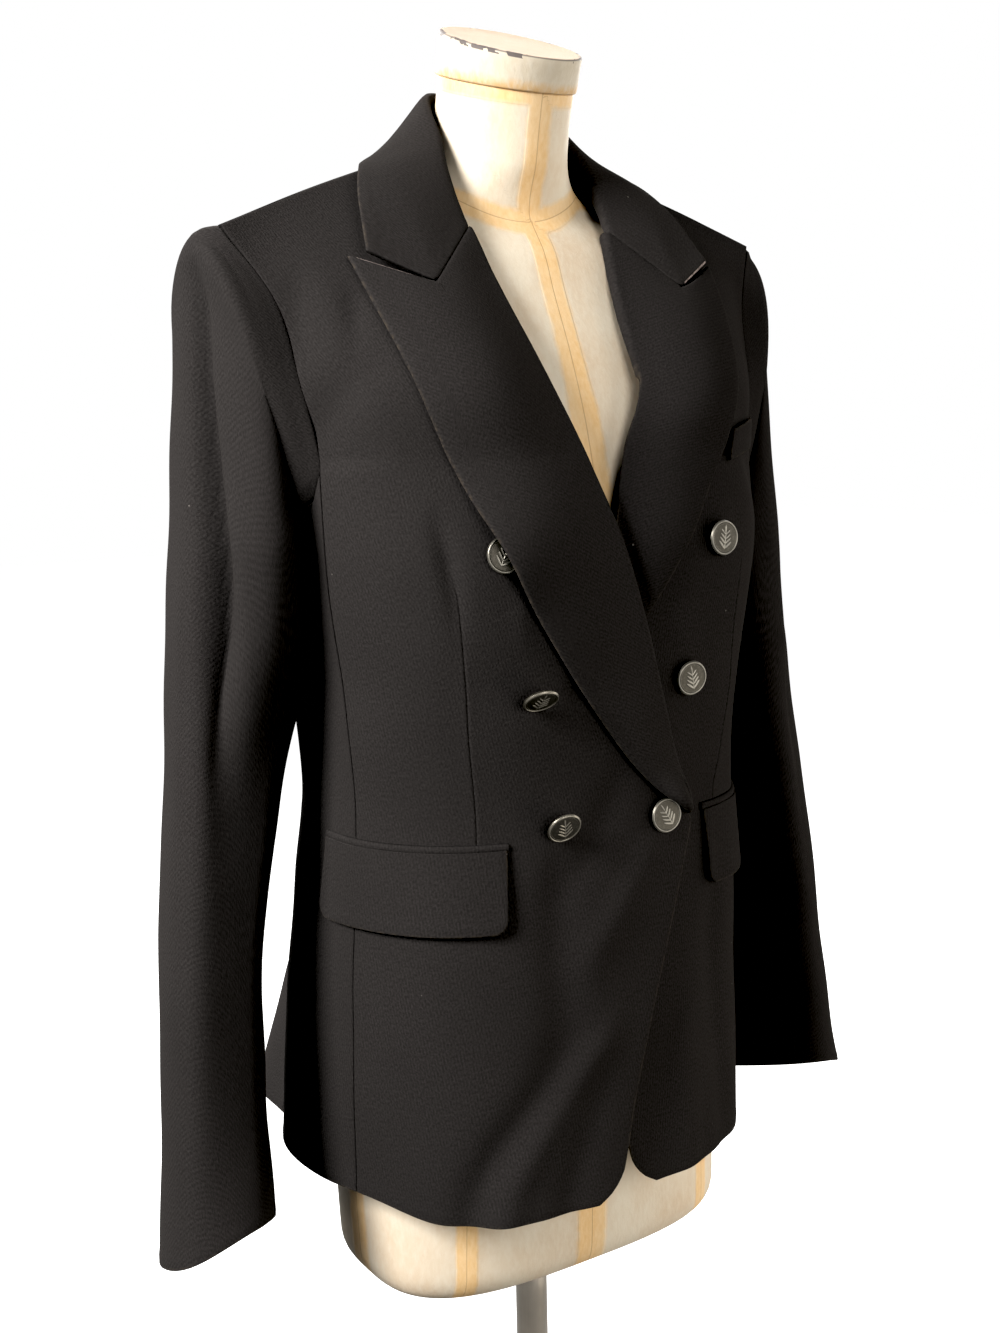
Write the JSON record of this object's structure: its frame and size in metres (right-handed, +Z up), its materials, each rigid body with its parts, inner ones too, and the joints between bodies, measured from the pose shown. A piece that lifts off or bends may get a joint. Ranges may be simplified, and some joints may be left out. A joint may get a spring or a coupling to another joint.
{
  "type": "double-breasted blazer on a dress form stand",
  "caption": "Double-breasted blazer with peak lapels, flap pockets and a chest welt, buttoned on a limbless dress form with a capped neck, on a pole with a round base.",
  "frame": {"origin": "centre of the underside of the stand's base, on the floor", "axes": "+Z up along the pole; the blazer's front and the form's chest face -Y; the wearer's right side is at -X and the wearer's left at +X"},
  "size_m": [0.5572, 0.373, 1.4882],
  "materials": {
    "wool_cloth": "charcoal black wool twill, soft nap",
    "button_metal": "antiqued pewter grey, raised rim polished",
    "form_canvas": "cream canvas over a moulded body, tan tapes on its seams",
    "stand_metal": "dark grey-brown satin"
  },
  "bodies": {
    "root": {"front_right": "wool_cloth", "side_right": "wool_cloth", "back_right": "wool_cloth", "front_left": "wool_cloth", "side_left": "wool_cloth", "back_left": "wool_cloth", "top_sleeve_right": "wool_cloth", "under_sleeve_right": "wool_cloth", "top_sleeve_left": "wool_cloth", "under_sleeve_left": "wool_cloth", "lapel_right": "wool_cloth", "lapel_left": "wool_cloth", "collar": "wool_cloth", "flap_right": "wool_cloth", "jet_right": "wool_cloth", "flap_left": "wool_cloth", "jet_left": "wool_cloth", "chest_welt": "wool_cloth", "button_right_top": "button_metal", "button_right_middle": "button_metal", "button_right_bottom": "button_metal", "button_left_top": "button_metal", "button_left_middle": "button_metal", "button_left_bottom": "button_metal", "dress_form": "form_canvas", "neck_cap": "form_canvas", "pole": "stand_metal", "base": "stand_metal"}
  },
  "joints": []
}
